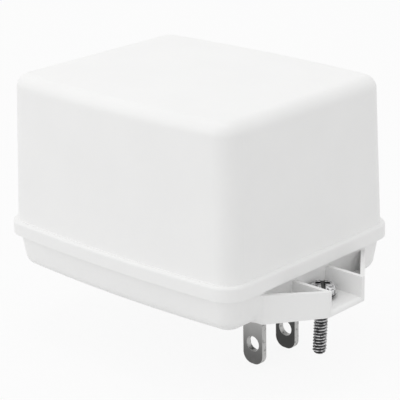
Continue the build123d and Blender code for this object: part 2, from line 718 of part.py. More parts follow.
def make_terminal_lead(side):
    """Lead from the secondary winding to the tab of one terminal."""
    z = lead_exit_z()
    _, bay_far = winding_bay(1)
    start_y = bay_far - COIL_LEAD_OUT if side > 0 else BOBBIN_FLANGE / 2 + COIL_LEAD_OUT
    start_x = wrap_face_x(-1)
    end_y = side * TERMINAL_Y
    top_z = TERMINAL_TAB_Z + TERMINAL_PLATE / 2 + LEAD_END
    points = [
        (start_x, start_y, z),
        (start_x - COIL_LEAD_OUT, start_y, z),
        (TERMINAL_LEAD_X, end_y, z),
        (TERMINAL_LEAD_X, end_y, top_z),
    ]
    return make_lead(points, [NEUTRAL_BEND, NEUTRAL_BEND])


def make_terminal_plate(side):
    """Brass plate on the pocket's floor, its top edge bent in through the wall as a tab."""
    y = side * TERMINAL_Y
    half = TERMINAL_WIDTH / 2
    z_low = POCKET_Z - TERMINAL_HEIGHT / 2
    z_high = POCKET_Z + TERMINAL_HEIGHT / 2
    plate = box_between(
        POCKET_FACE_X - TERMINAL_PLATE, POCKET_FACE_X, y - half, y + half, z_low, z_high
    )
    tab = box_between(
        POCKET_FACE_X - TERMINAL_PLATE, POCKET_BACK_X + TERMINAL_TAB_REACH,
        y - TERMINAL_TAB / 2, y + TERMINAL_TAB / 2,
        TERMINAL_TAB_Z - TERMINAL_PLATE / 2, TERMINAL_TAB_Z + TERMINAL_PLATE / 2,
    )
    hole = Pos(POCKET_FACE_X, y, POCKET_Z) * Rot(0, 90, 0)
    plate -= hole * Cylinder(TERMINAL_SCREW / 2 + FIT_GAP, 4 * TERMINAL_PLATE)
    wire_hole = post(TERMINAL_LEAD_X, y, 0, CASE_DEPTH, LEAD + 2 * LEAD_HOLE_GAP)
    return plate + tab - wire_hole


def make_terminal_screw(side):
    """Binding screw of one terminal."""
    screw = pan_screw(
        TERMINAL_SCREW, TERMINAL_SCREW_LENGTH, TERMINAL_SCREW_HEAD, TERMINAL_SCREW_HEAD_HEIGHT
    )
    place = Pos(POCKET_FACE_X - TERMINAL_PLATE, side * TERMINAL_Y, POCKET_Z) * Rot(0, -90, 0)
    return place * screw


def make_mounting_screw():
    """Long screw that hangs in the ear's hole, not driven home and leaning a little."""
    screw = pan_screw(SCREW_DIAMETER, SCREW_LENGTH, SCREW_HEAD, SCREW_HEAD_HEIGHT)
    pivot_z = EAR_FLOOR / 2
    turn = Rot(0, 0, SCREW_TURN) * Rot(0, SCREW_LEAN, 0)
    return Pos(SCREW_X, 0, pivot_z) * turn * Pos(0, 0, HEAD_Z - pivot_z) * screw


e_laminations, i_laminations = make_laminations()
pieces = {
    "cover": make_cover(),
    "base": make_base(),
    "line_blade": make_blade(-BLADE_PITCH / 2),
    "neutral_blade": make_blade(BLADE_PITCH / 2),
    "mounting_screw": make_mounting_screw(),
    "blade_retainer": make_retainer(),
    "retainer_screw": make_retainer_screw(),
    "e_laminations": e_laminations,
    "i_laminations": i_laminations,
    "bobbin": make_bobbin(),
    "primary_winding": make_winding(-1),
    "secondary_winding": make_winding(1),
    "primary_wrap": make_wrap(-1),
    "secondary_wrap": make_wrap(1),
    "top_pad": make_top_pad(),
    "insulating_card": make_card(),
    "core_screws": make_core_screws(),
    "core_washers": make_core_washers(),
    "line_lead": make_line_lead(),
    "thermal_fuse": make_fuse(),
    "fuse_sleeve": make_sleeve(),
    "fuse_lead": make_fuse_lead(),
    "neutral_lead": make_neutral_lead(),
    "terminal_lead_left": make_terminal_lead(-1),
    "terminal_lead_right": make_terminal_lead(1),
    "terminal_plate_left": make_terminal_plate(-1),
    "terminal_plate_right": make_terminal_plate(1),
    "terminal_screw_left": make_terminal_screw(-1),
    "terminal_screw_right": make_terminal_screw(1),
}

os.makedirs("parts", exist_ok=True)
for name, piece in pieces.items():
    export_step(piece, f"parts/{name}.step")
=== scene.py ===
import bmesh
import bpy
import math
from mathutils import Matrix, Vector


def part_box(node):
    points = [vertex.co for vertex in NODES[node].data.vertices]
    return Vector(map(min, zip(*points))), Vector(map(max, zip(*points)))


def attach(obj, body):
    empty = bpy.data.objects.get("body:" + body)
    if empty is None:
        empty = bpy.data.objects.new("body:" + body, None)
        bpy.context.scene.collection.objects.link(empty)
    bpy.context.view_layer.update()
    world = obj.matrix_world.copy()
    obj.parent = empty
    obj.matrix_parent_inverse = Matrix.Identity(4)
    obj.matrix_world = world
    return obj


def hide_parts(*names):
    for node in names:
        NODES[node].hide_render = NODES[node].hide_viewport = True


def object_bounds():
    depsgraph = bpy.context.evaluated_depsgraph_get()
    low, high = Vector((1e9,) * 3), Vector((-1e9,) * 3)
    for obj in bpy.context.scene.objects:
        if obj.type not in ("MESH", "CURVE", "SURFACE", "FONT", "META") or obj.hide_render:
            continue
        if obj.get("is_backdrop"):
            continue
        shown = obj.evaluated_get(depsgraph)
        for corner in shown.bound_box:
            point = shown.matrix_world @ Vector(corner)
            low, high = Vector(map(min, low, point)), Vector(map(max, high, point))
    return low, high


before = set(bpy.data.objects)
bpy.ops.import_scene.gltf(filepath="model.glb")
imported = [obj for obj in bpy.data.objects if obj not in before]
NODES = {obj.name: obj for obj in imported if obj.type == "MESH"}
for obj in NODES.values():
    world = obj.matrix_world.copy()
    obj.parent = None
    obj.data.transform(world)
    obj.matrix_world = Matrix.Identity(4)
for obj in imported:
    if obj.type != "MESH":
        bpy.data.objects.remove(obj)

bl_info = {
    "name": "Plug-in transformer",
    "version": (1, 0, 0),
    "blender": (4, 5, 0),
    "location": "3D View > Sidebar > Transformer",
    "description": "Finishes, threads and studio for a plug-in transformer with a screw ear",
    "category": "Object",
}

MM = 0.001

# Where the mounting screw hangs in the ear, as the solids have it
SCREW_X = 16.4 * MM
EAR_FLOOR = 2.2 * MM

# The core screws under their washers, which end a little above their solids
WASHER_RADIUS = 4.4 * MM
CORE_PITCH = 1.27 * MM
CORE_THREAD_DEPTH = 0.36 * MM
CORE_THREAD_LENGTH = 12.0 * MM
CORE_TIP = 0.9 * MM
CORE_END = 0.4 * MM

# Grids that the screws are bent from, and how meshes are joined and smoothed
THREAD_ROWS = 12
THREAD_COLUMNS = 41
HEAD_ROWS = 41
HEAD_COLUMNS = 65
GRID_JOIN = 0.002 * MM
MESH_JOIN = 0.001 * MM
SHARP_ANGLE = math.radians(32.0)

# The camera of the photo: angles in degrees, lengths in millimetres
CAMERA_ANGLES = (43.077, 19.395, -1.1735)
CAMERA_AIM = (-24.7306, 0.0, 25.0)
CAMERA_SHIFT = (0.8155, -6.6009)
CAMERA_DISTANCE = 421.98
CAMERA_LENS = 148.13

# Lamps and floor in metres
KEY_PLACE = (-0.06, -0.04, 0.65)
KEY_WIDTH = 0.2
SIDE_PLACE = (-0.38, -0.64, 0.36)
SIDE_WIDTH = 0.6
LAMP_AIM = (-0.025, 0.0, 0.02)
FLOOR_HALF = 3.0
FLOOR_GLOW = 0.90


class Value:
    """A socket of a node tree, so that sums on it are written as expressions."""

    def __init__(self, tree, socket):
        self.tree = tree
        self.socket = socket

    def sum(self, operation, first, second=None):
        node = self.tree.nodes.new("ShaderNodeMath")
        node.operation = operation
        for place, item in enumerate((first, second)):
            if isinstance(item, Value):
                self.tree.links.new(item.socket, node.inputs[place])
            elif item is not None:
                node.inputs[place].default_value = item
        return Value(self.tree, node.outputs[0])

    def __add__(self, other):
        return self.sum("ADD", self, other)

    def __radd__(self, other):
        return self.sum("ADD", other, self)

    def __sub__(self, other):
        return self.sum("SUBTRACT", self, other)

    def __rsub__(self, other):
        return self.sum("SUBTRACT", other, self)

    def __mul__(self, other):
        return self.sum("MULTIPLY", self, other)

    def __rmul__(self, other):
        return self.sum("MULTIPLY", other, self)

    def __truediv__(self, other):
        return self.sum("DIVIDE", self, other)

    def __pow__(self, other):
        return self.sum("POWER", self, other)

    def __gt__(self, other):
        return self.sum("GREATER_THAN", self, other)

    def __lt__(self, other):
        return self.sum("LESS_THAN", self, other)

    def low(self, other):
        return self.sum("MINIMUM", self, other)

    def high(self, other):
        return self.sum("MAXIMUM", self, other)

    def within(self, low, high):
        return self.high(low).low(high)

    def size(self):
        return self.sum("ABSOLUTE", self)

    def part(self):
        return self.sum("FRACT", self)

    def cosine(self):
        return self.sum("COSINE", self)

    def sine(self):
        return self.sum("SINE", self)


class Graph:
    """A node tree, filled by one method that takes a type, its settings and its sockets."""

    def __init__(self, tree):
        self.tree = tree

    def add(self, kind, settings=None, **sockets):
        node = self.tree.nodes.new(kind)
        for name, setting in (settings or {}).items():
            setattr(node, name, setting)
        for name, item in sockets.items():
            self.put(node, name.replace("_", " "), item)
        return node

    def put(self, node, name, item):
        """Fill a socket, named or given as i and its number, with a link or a plain setting."""
        place = int(name[1:]) if name[0] == "i" and name[1:].isdigit() else name
        socket = node.inputs[place]
        items = item if isinstance(item, list) else [item]
        for one in items:
            if isinstance(one, Value):
                self.tree.links.new(one.socket, socket)
            elif isinstance(one, bpy.types.NodeSocket):
                self.tree.links.new(one, socket)
            else:
                socket.default_value = one

    def background_seen(self):
        """1 for the rays that show the background: to the camera, in gloss and through glass."""
        path = self.add("ShaderNodeLightPath")
        camera = self.value(path, "Is Camera Ray")
        gloss = self.value(path, "Is Glossy Ray")
        return camera.high(gloss).high(self.value(path, "Is Transmission Ray"))

    def value(self, node, output=0):
        """An output of a node, ready for sums."""
        return Value(self.tree, node.outputs[output])


class Finish(Graph):
    """One material of the object, with the patterns that its finishes are made from."""

    def __init__(self, name, **constants):
        self.material = bpy.data.materials.new(name)
        self.material.use_nodes = True
        super().__init__(self.material.node_tree)
        self.shader = self.tree.nodes["Principled BSDF"]
        for socket, number in constants.items():
            self.shader.inputs[socket.replace("_", " ")].default_value = number
        self.place = self.add("ShaderNodeTexCoord").outputs["Object"]

    def stretch(self, along):
        """Object coordinates in millimetres, scaled by along on each axis."""
        scale = tuple(factor / MM for factor in along)
        node = self.add(
            "ShaderNodeMapping", {"vector_type": "POINT"}, Vector=self.place, Scale=scale
        )
        return node.outputs["Vector"]

    def axis(self, letter):
        """One object coordinate in millimetres."""
        node = self.add("ShaderNodeSeparateXYZ", Vector=self.place)
        return self.value(node, "XYZ".index(letter)) / MM

    def normal(self, letter):
        """One part of the face's own direction, from -1 to 1."""
        turned = self.add(
            "ShaderNodeVectorTransform",
            {"vector_type": "NORMAL", "convert_from": "WORLD", "convert_to": "OBJECT"},
            i0=self.add("ShaderNodeNewGeometry").outputs["Normal"],
        )
        node = self.add("ShaderNodeSeparateXYZ", Vector=turned.outputs[0])
        return self.value(node, "XYZ".index(letter))

    def noise(self, size, detail=3.0, roughness=0.5, along=(1.0, 1.0, 1.0)):
        """Noise whose blots are about size millimetres across, from 0 to 1."""
        node = self.add(
            "ShaderNodeTexNoise", {"noise_dimensions": "3D"}, Vector=self.stretch(along),
            Scale=1.0 / size, Detail=detail, Roughness=roughness,
        )
        return self.value(node)

    def cells(self, size):
        """Distance to the nearest of scattered points about size millimetres apart."""
        node = self.add(
            "ShaderNodeTexVoronoi", {"feature": "F1"}, Vector=self.stretch((1.0, 1.0, 1.0)),
            Scale=1.0 / size,
        )
        return self.value(node)

    def smooth(self, value, low, high):
        """0 below low, 1 above high and a soft step between."""
        node = self.add(
            "ShaderNodeMapRange", {"interpolation_type": "SMOOTHSTEP"},
            Value=value, From_Min=low, From_Max=high,
        )
        return self.value(node)

    def edges(self, radius, low=0.02, high=0.25):
        """A mask that is 1 along outer and inner edges, radius millimetres wide."""
        bevel = self.add("ShaderNodeBevel", {"samples": 6}, Radius=radius * MM)
        flat = self.add("ShaderNodeNewGeometry")
        dot = self.add(
            "ShaderNodeVectorMath", {"operation": "DOT_PRODUCT"},
            i0=bevel.outputs["Normal"], i1=flat.outputs["Normal"],
        )
        return self.smooth(1.0 - self.value(dot, 1), low, high)

    def mix(self, factor, first, second):
        """Colour between first and second."""
        node = self.add("ShaderNodeMix", {"data_type": "RGBA", "blend_type": "MIX"})
        for place, item in ((0, factor), (6, first), (7, second)):
            if isinstance(item, (Value, bpy.types.NodeSocket)):
                self.put(node, "i%d" % place, item)
            elif place:
                node.inputs[place].default_value = tuple(item)[:3] + (1.0,)
            else:
                node.inputs[place].default_value = item
        return node.outputs[2]

    def finish(self, colour=None, roughness=None, metallic=None, height=None, depth=0.1):
        """Join what varies to the shader. height is in millimetres."""
        if colour is not None:
            self.put(self.shader, "Base Color", colour)
        if roughness is not None:
            self.put(self.shader, "Roughness", roughness)
        if metallic is not None:
            self.put(self.shader, "Metallic", metallic)
        if height is not None:
            bump = self.add("ShaderNodeBump", Strength=1.0, Distance=depth * MM, Height=height)
            self.put(self.shader, "Normal", bump.outputs["Normal"])
        return self.material


def shade(colour, factor):
    """A colour made darker or lighter by a factor."""
    return tuple(min(1.0, part * factor) for part in tuple(colour)[:3])


def dress(node_names, material):
    """Give CAD nodes a finish in place of their plain one."""
    for name in node_names:
        slots = NODES[name].data.materials
        if not len(slots):
            slots.append(material)
        for place in range(len(slots)):
            slots[place] = material


# Finishes

def moulded_plastic(name, colour, look):
    """Light moulded plastic: fine spark-eroded texture, faint flow clouds, edges lightened as a
    painted highlight.
    """
    finish = Finish(name, Specular_IOR_Level=0.3)
    clouds = finish.noise(14.0, 3.0, 0.55)
    grain = finish.noise(look.grain_size / MM, 2.0, 0.6)
    specks = finish.smooth(finish.noise(0.55, 2.0, 0.5), 0.70, 0.78)
    edge_mask = finish.edges(0.55)
    tone = finish.mix(finish.smooth(clouds, 0.3, 0.7), shade(colour, 0.985), shade(colour, 1.0))
    tone = finish.mix(specks * 0.05, tone, shade(colour, 0.72))
    # Painted highlight: the edges are lightened.
    tone = finish.mix(edge_mask * 0.35, tone, shade(colour, 1.05))
    rough = look.case_roughness + 0.10 * (clouds - 0.5) + 0.08 * (grain - 0.5) - 0.07 * edge_mask
    depth = 0.1
    height = grain * (look.grain_depth / MM) / depth + 0.25 * finish.noise(6.0, 2.0, 0.5)
    return finish.finish(tone, rough, height=height, depth=depth)


def plated_blade(name, colour, darkening, upper):
    """Nickel-plated brass strip: rolled streaks, dull blots, bright edges, faces painted dark.

    The thin sides carry a painted highlight. The faces carry a painted dark reflection that
    deepens towards the tip, as strong as the third argument. The upper end has the share upper
    of that.
    """
    finish = Finish(name, Metallic=1.0)
    streaks = finish.noise(0.16, 3.0, 0.6, along=(1.0, 1.0, 0.06))
    blots = finish.noise(3.2, 4.0, 0.6)
    scratches = finish.smooth(finish.noise(0.10, 1.0, 0.5, along=(1.0, 1.0, 0.02)), 0.66, 0.72)
    edge_mask = finish.edges(0.30)
    tone = finish.mix(finish.smooth(blots, 0.35, 0.7), shade(colour, 0.78), shade(colour, 1.06))
    tone = finish.mix(streaks * 0.5, tone, shade(colour, 0.86))
    # Painted dark reflection on the faces, deeper towards the tip.
    down = finish.smooth(finish.axis("Z") * -1.0 + 4.0 * (blots - 0.5), 3.0, 17.0)
    face = finish.smooth(finish.normal("Y").size(), 0.6, 0.9)
    dark = ((upper + (1.0 - upper) * down) * face * darkening).high(0.0)
    tone = finish.mix(dark, tone, shade(colour, 0.10))
    # Painted highlight: the thin sides are made lighter than the faces.
    tone = finish.mix((1.0 - face) * 0.8, tone, shade(colour, 1.05))
    spots = finish.smooth(finish.noise(1.1, 3.0, 0.6), 0.54, 0.64) * (1.0 - face)
    tone = finish.mix(spots * 0.7, tone, shade(colour, 0.22))
    tone = finish.mix(edge_mask * 0.6, tone, shade(colour, 1.18))
    rough = 0.26 + 0.16 * streaks + 0.16 * blots + 0.05 * scratches
    height = 0.6 * streaks + 0.5 * scratches
    return finish.finish(tone, rough, height=height, depth=0.006)


def zinc_plate(name, colour, threaded=False):
    """Bright zinc plate on steel: faint crystal patches, and on threads dark blots and painted
    shade in the roots.
    """
    finish = Finish(name, Metallic=1.0)
    patches = finish.cells(0.8)
    cloud = finish.noise(0.5, 3.0, 0.6)
    edge_mask = finish.edges(0.12)
    tone = finish.mix(finish.smooth(cloud, 0.35, 0.75), shade(colour, 0.82), colour)
    tone = finish.mix(patches * 0.25, tone, shade(colour, 0.92))
    tone = finish.mix(edge_mask * 0.6, tone, shade(colour, 1.25))
    if threaded:
        crest = finish.value(finish.add("ShaderNodeAttribute", {"attribute_name": "crest"}), 2)
        # Dark blots at random.
        dark_blots = finish.smooth(finish.noise(0.7, 3.0, 0.6), 0.47, 0.60)
        tone = finish.mix(dark_blots * 0.8, tone, shade(colour, 0.12))
        # Painted shade in the thread's roots and along the head's lower edge, where the crest value
        # is low.
        tone = finish.mix(finish.smooth(crest, 0.12, 0.72), shade(colour, 0.05), tone)
    rough = 0.22 + 0.14 * cloud + 0.06 * patches
    return finish.finish(tone, rough, height=cloud, depth=0.006)


def plain_brass(name, colour):
    """Stamped brass with a rolled grain and a brown tarnish in blots."""
    finish = Finish(name, Metallic=1.0)
    streaks = finish.noise(0.14, 3.0, 0.6, along=(1.0, 0.08, 1.0))
    # Brown, tarnished blots on the brass.
    darkening = finish.smooth(finish.noise(1.6, 4.0, 0.65), 0.48, 0.75)
    edge_mask = finish.edges(0.2)
    tone = finish.mix(darkening * 0.6, colour, shade(colour, 0.45))
    tone = finish.mix(edge_mask * 0.5, tone, shade(colour, 1.3))
    rough = 0.28 + 0.15 * streaks + 0.2 * darkening
    return finish.finish(tone, rough, height=streaks, depth=0.006)


def varnished_sheets(name, colour, sheet):
    """Edges of varnished steel sheets, with the grooves between them in painted shade, and runs of
    varnish.
    """
    finish = Finish(name, Coat_Weight=0.5, Coat_Roughness=0.2)
    across = finish.axis("Z") / sheet
    groove = finish.smooth((across.part() - 0.5).size(), 0.36, 0.5)
    jitter = finish.noise(0.9, 2.0, 0.5, along=(0.2, 0.2, 1.0 / sheet))
    runs = finish.smooth(finish.noise(3.0, 3.0, 0.6, along=(1.0, 1.0, 0.35)), 0.5, 0.7)
    rust = finish.smooth(finish.noise(5.0, 5.0, 0.7), 0.62, 0.74)
    tone = finish.mix(jitter, shade(colour, 0.75), shade(colour, 1.3))
    # Painted shade in the grooves between the sheets.
    tone = finish.mix(groove * 0.75, tone, shade(colour, 0.25))
    tone = finish.mix(runs * 0.5, tone, (0.20, 0.10, 0.035))
    tone = finish.mix(rust * 0.35, tone, (0.28, 0.11, 0.04))
    rough = 0.36 + 0.25 * rust + 0.15 * groove
    metal = 0.85 - 0.6 * rust
    height = 1.0 - groove + 0.2 * jitter
    return finish.finish(tone, rough, metal, height, 0.08)


def natural_nylon(name, colour):
    """Unfilled nylon: milky, with flow marks and a soft sheen."""
    finish = Finish(name, Subsurface_Weight=0.15, Subsurface_Scale=0.001)
    flow = finish.noise(4.0, 4.0, 0.6, along=(1.0, 0.4, 1.0))
    grain = finish.noise(0.3, 2.0, 0.5)
    edge_mask = finish.edges(0.3)
    tone = finish.mix(flow, shade(colour, 0.93), shade(colour, 1.04))
    tone = finish.mix(edge_mask * 0.4, tone, shade(colour, 1.1))
    return finish.finish(tone, 0.38 + 0.18 * flow, height=grain, depth=0.01)


def copper_turns(name, colour, wire):
    """Enamelled wire wound side by side, with a little play between the turns, painted shade in the
    gaps.
    """
    finish = Finish(name, Coat_Weight=0.8, Coat_Roughness=0.12)
    wander = finish.noise(6.0, 2.0, 0.5)
    across = (finish.axis("Y") + 0.35 * wire * wander) / wire
    turn = (across.part() - 0.5).size() * 2.0
    round_top = (1.0 - turn * turn).high(0.0) ** 0.5
    gap = finish.smooth(turn, 0.72, 0.98)
    shades = finish.noise(0.7, 2.0, 0.5, along=(0.1, 1.0, 0.1))
    tone = finish.mix(shades, shade(colour, 0.75), shade(colour, 1.25))
    # Painted shade in the gaps between the turns; the gaps are also made less metallic below.
    tone = finish.mix(gap * 0.85, tone, shade(colour, 0.12))
    return finish.finish(tone, 0.26 + 0.2 * gap, 1.0 - 0.5 * gap, round_top, wire / 2)


def tape(name, colour):
    """Glossy tape: wrinkles across it, an overlap every few turns, darker where it lies double."""
    finish = Finish(name, Coat_Weight=0.6, Coat_Roughness=0.08)
    wrinkles = finish.noise(1.6, 3.0, 0.6, along=(1.0, 0.15, 1.0))
    lapped = finish.smooth((finish.axis("Y") / 6.2).part(), 0.5, 0.54)
    shades = finish.noise(5.0, 2.0, 0.5)
    tone = finish.mix(lapped * 0.45, colour, shade(colour, 0.72))
    tone = finish.mix(shades * 0.35, tone, shade(colour, 0.85))
    height = 0.5 * wrinkles + lapped
    return finish.finish(tone, 0.24 + 0.16 * wrinkles, height=height, depth=0.06)


def foam(name, colour):
    """Closed-cell foam with small open bubbles at its cut faces, in painted shade inside their
    pits.
    """
    finish = Finish(name)
    cells = finish.cells(0.55)
    small = finish.cells(0.22)
    pits = finish.smooth(cells, 0.15, 0.55)
    # Painted shade in the bubbles' pits.
    tone = finish.mix(pits, shade(colour, 0.4), shade(colour, 1.5))
    return finish.finish(tone, 0.88 + 0.08 * small, height=pits + 0.4 * small, depth=0.15)


def pressed_paper(name, colour):
    """Hard pressed paper: fibres both ways and a faint mottle."""
    finish = Finish(name)
    along = finish.noise(0.25, 3.0, 0.6, along=(0.15, 1.0, 1.0))
    across = finish.noise(0.25, 3.0, 0.6, along=(1.0, 0.15, 1.0))
    fibres = (along + across) * 0.5
    tone = finish.mix(finish.smooth(fibres, 0.35, 0.65), shade(colour, 0.8), shade(colour, 1.15))
    return finish.finish(tone, 0.7 + 0.15 * fibres, height=fibres, depth=0.03)


def drawn_aluminium(name, colour):
    """Drawn metal case: fine rings round it and small dents."""
    finish = Finish(name, Metallic=1.0)
    rings = finish.noise(0.09, 2.0, 0.5, along=(0.1, 0.1, 1.0))
    dents = finish.noise(1.3, 3.0, 0.5)
    edge_mask = finish.edges(0.15)
    tone = finish.mix(rings, shade(colour, 0.85), shade(colour, 1.08))
    tone = finish.mix(edge_mask * 0.5, tone, shade(colour, 1.2))
    return finish.finish(tone, 0.28 + 0.15 * dents, height=0.3 * rings + dents, depth=0.02)


def woven_glass(name, colour):
    """Sleeve of woven glass yarn: a fine diagonal plait."""
    finish = Finish(name)
    height = finish.axis("Z")
    spin = finish.noise(0.8, 2.0, 0.5)
    one = ((height * 2.4 + finish.axis("X") * 1.7).part() - 0.5).size() * 2.0
    other = ((height * 2.4 - finish.axis("X") * 1.7).part() - 0.5).size() * 2.0
    plait = one.high(other)
    tone = finish.mix(plait, shade(colour, 0.72), shade(colour, 1.04))
    tone = finish.mix(spin * 0.25, tone, shade(colour, 0.85))
    return finish.finish(tone, 0.6 + 0.2 * plait, height=plait, depth=0.08)


def wire_skin(name, colour):
    """Soft insulation on a lead: satin, with scuffs and a faint ripple of the strands below."""
    finish = Finish(name, Specular_IOR_Level=0.5)
    scuffs = finish.smooth(finish.noise(0.5, 3.0, 0.6, along=(1.0, 1.0, 0.3)), 0.58, 0.72)
    ripple = finish.noise(0.8, 2.0, 0.5)
    tone = finish.mix(scuffs * 0.35, colour, shade(tuple(part + 0.05 for part in colour), 1.3))
    return finish.finish(tone, 0.34 + 0.2 * scuffs, height=ripple, depth=0.03)


# Sizes and colours

def colour_choice(name, description, default):
    return bpy.props.FloatVectorProperty(
        name=name, description=description, default=default, subtype="COLOR", size=3,
        min=0.0, max=1.0,
    )


def size_choice(name, description, default):
    return bpy.props.FloatProperty(
        name=name, description=description, default=default, min=0.001 * MM, unit="LENGTH",
        subtype="DISTANCE", precision=5,
    )


def share_choice(name, description, default):
    return bpy.props.FloatProperty(
        name=name, description=description, default=default, min=0.0, soft_max=1.0,
        subtype="FACTOR",
    )


def power_choice(name, description, default):
    return bpy.props.FloatProperty(
        name=name, description=description, default=default, min=0.0, unit="POWER",
        subtype="POWER",
    )


class CaseLook(bpy.types.PropertyGroup):
    colour: colour_choice("Plastic", "Colour of the cover and the base", (0.955, 0.955, 0.95))
    case_roughness: share_choice("Roughness", "Roughness of the moulded plastic", 0.40)
    grain_size: size_choice("Grain size", "Width of the moulded grain", 0.28 * MM)
    grain_depth: size_choice("Grain depth", "Depth of the moulded grain", 0.012 * MM)


class MetalLook(bpy.types.PropertyGroup):
    blade: colour_choice("Blades", "Colour of the plated blades", (0.496, 0.493, 0.487))
    screw: colour_choice("Screws", "Colour of the zinc plate", (0.82, 0.82, 0.83))
    brass: colour_choice("Terminals", "Colour of the brass plates", (0.62, 0.44, 0.17))
    core: colour_choice("Core", "Colour of the core's steel", (0.16, 0.155, 0.15))
    copper: colour_choice("Wire", "Colour of the enamelled wire", (0.50, 0.16, 0.055))
    fuse: colour_choice("Fuse", "Colour of the fuse's case", (0.62, 0.62, 0.62))


class InsideLook(bpy.types.PropertyGroup):
    nylon: colour_choice("Bobbin", "Colour of the bobbin", (0.72, 0.68, 0.56))
    bar: colour_choice("Retainer", "Colour of the bar over the blades", (0.035, 0.035, 0.037))
    tape: colour_choice("Tape", "Colour of the tape", (0.72, 0.44, 0.035))
    foam: colour_choice("Pad", "Colour of the foam pad", (0.04, 0.04, 0.042))
    card: colour_choice("Card", "Colour of the insulating card", (0.21, 0.23, 0.22))
    sleeve: colour_choice("Sleeve", "Colour of the fuse's sleeve", (0.78, 0.74, 0.64))
    black_lead: colour_choice("Line lead", "Colour of the line leads", (0.02, 0.02, 0.021))
    white_lead: colour_choice("Neutral lead", "Colour of the neutral lead", (0.72, 0.72, 0.70))
    yellow_lead: colour_choice("Outer leads", "Colour of the low-voltage leads", (0.76, 0.48, 0.02))
    sheet: size_choice("Sheet", "Thickness of one core sheet", 0.53 * MM)
    wire: size_choice("Wire", "Diameter of the wound wire", 0.62 * MM)


class ThreadSizes(bpy.types.PropertyGroup):
    pitch: size_choice("Pitch", "Distance from one thread to the next", 0.794 * MM)
    diameter: size_choice("Diameter", "Outer diameter of the thread", 3.5 * MM)
    depth: size_choice("Depth", "Depth of the thread", 0.46 * MM)
    length: size_choice("Length", "Length under the head", 16.0 * MM)
    head: size_choice("Head", "Diameter of the head", 6.9 * MM)
    head_height: size_choice("Head height", "Height of the head", 2.6 * MM)
    slot: size_choice("Slot", "Width of the driver's slot", 1.0 * MM)
    tip: size_choice("Tip", "Length of the bevel at the tip", 0.5 * MM)
    proud: size_choice("Proud", "Height of the head over the ear's floor", 1.05 * MM)
    lean: bpy.props.FloatProperty(
        name="Lean", description="How far the screw leans in its hole", default=math.radians(2.4),
        subtype="ANGLE", unit="ROTATION",
    )
    turn: bpy.props.FloatProperty(
        name="Turn", description="Direction that the screw leans in", default=math.radians(43.0),
        subtype="ANGLE", unit="ROTATION",
    )


class Studio(bpy.types.PropertyGroup):
    floor: colour_choice("Floor", "Colour of the floor", (0.78, 0.78, 0.78))
    sky: share_choice("Sky", "Strength of the even light from all round", 0.80)
    key: power_choice("Key", "Power of the lamp over the object", 0.40)
    side: power_choice("Side", "Power of the lamp on the left", 0.80)


class Transformer(bpy.types.PropertyGroup):
    case: bpy.props.PointerProperty(type=CaseLook, name="Case", description="Cover and base")
    metal: bpy.props.PointerProperty(type=MetalLook, name="Metal", description="Metal colours")
    inside: bpy.props.PointerProperty(type=InsideLook, name="Inside", description="Inside colours")
    screw: bpy.props.PointerProperty(type=ThreadSizes, name="Screw", description="Mounting screw")
    studio: bpy.props.PointerProperty(type=Studio, name="Studio", description="Floor and light")


# Threaded screws

def to_points(graph, mesh, crest, x, y, z):
    """Move each point of a grid to x, y, z, and keep how near the crest it lies."""
    kept = graph.add(
        "GeometryNodeStoreNamedAttribute", {"data_type": "FLOAT", "domain": "POINT"},
        Geometry=mesh.outputs[0], Name="crest", Value=crest,
    )
    place = graph.add("ShaderNodeCombineXYZ", i0=x, i1=y, i2=z)
    moved = graph.add(
        "GeometryNodeSetPosition", Geometry=kept.outputs[0], Position=place.outputs[0]
    )
    return graph.add("GeometryNodeMergeByDistance", Geometry=moved.outputs[0], Distance=GRID_JOIN)


def threaded_shank(graph, size, u, v):
    """Shank with a helical ridge, from a grid whose u runs round and whose v runs up it."""
    turns = size["Turns"]
    grid = graph.add(
        "GeometryNodeMeshGrid", Size_X=1.0, Size_Y=1.0, Vertices_X=THREAD_COLUMNS,
        Vertices_Y=turns * THREAD_ROWS + 1.0,
    )
    top = 0.1 * size["Head height"]
    bottom = size["Length"] * -1.0
    along = (turns * (1.0 - v) - 1.0) * size["Pitch"] * -1.0
    z = (along + u * size["Pitch"] + top).low(top).high(bottom)
    phase = ((turns * v).part() - 0.5).size() * 2.0
    root_share, flank_share = 0.22, 0.66
    ridge = ((phase - root_share) / flank_share).within(0.0, 1.0)
    outer = size["Diameter"] * 0.5
    threaded = ((size["Thread start"] * -1.0 - z) / size["Pitch"] + 0.5).within(0.0, 1.0)
    radius = outer - size["Depth"] * (1.0 - ridge) * threaded
    radius = radius.low(outer - size["Depth"] - size["Tip"] * 0.35 + (z - bottom) * 1.1)
    radius = radius * ((v > 0.0001) * (v < 0.9999))
    # How near the crest: low in the roots, where the threaded finish paints shade.
    crest = ((radius - (outer - size["Depth"])) / size["Depth"]).within(0.0, 1.0)
    angle = u * (2.0 * math.pi)
    return to_points(graph, grid, crest, radius * angle.cosine(), radius * angle.sine(), z)


def domed_head(graph, size, u, v):
    """Pan head with a flat underside, an upright edge and a dome, marked for painted shade along
    its lower edge.
    """
    grid = graph.add(
        "GeometryNodeMeshGrid", Size_X=1.0, Size_Y=1.0, Vertices_X=HEAD_COLUMNS,
        Vertices_Y=HEAD_ROWS,
    )
    edge = 0.35 * size["Head height"]
    disc = (v * 10.0).within(0.0, 1.0)
    side = (v * 10.0 - 1.0).within(0.0, 1.0)
    crown = ((v - 0.2) / 0.8).within(0.0, 1.0) * (math.pi / 2)
    bulge = 2.0 / 3.2
    radius = size["Head"] * 0.5 * disc * crown.cosine().high(0.0) ** bulge
    z = edge * side + (size["Head height"] - edge) * crown.sine().high(0.0) ** bulge
    # Low along the lower edge, where the threaded finish paints shade.
    crest = (z / (0.7 * edge)).within(0.2, 1.0)
    angle = u * (2.0 * math.pi)
    return to_points(graph, grid, crest, radius * angle.cosine(), radius * angle.sine(), z)


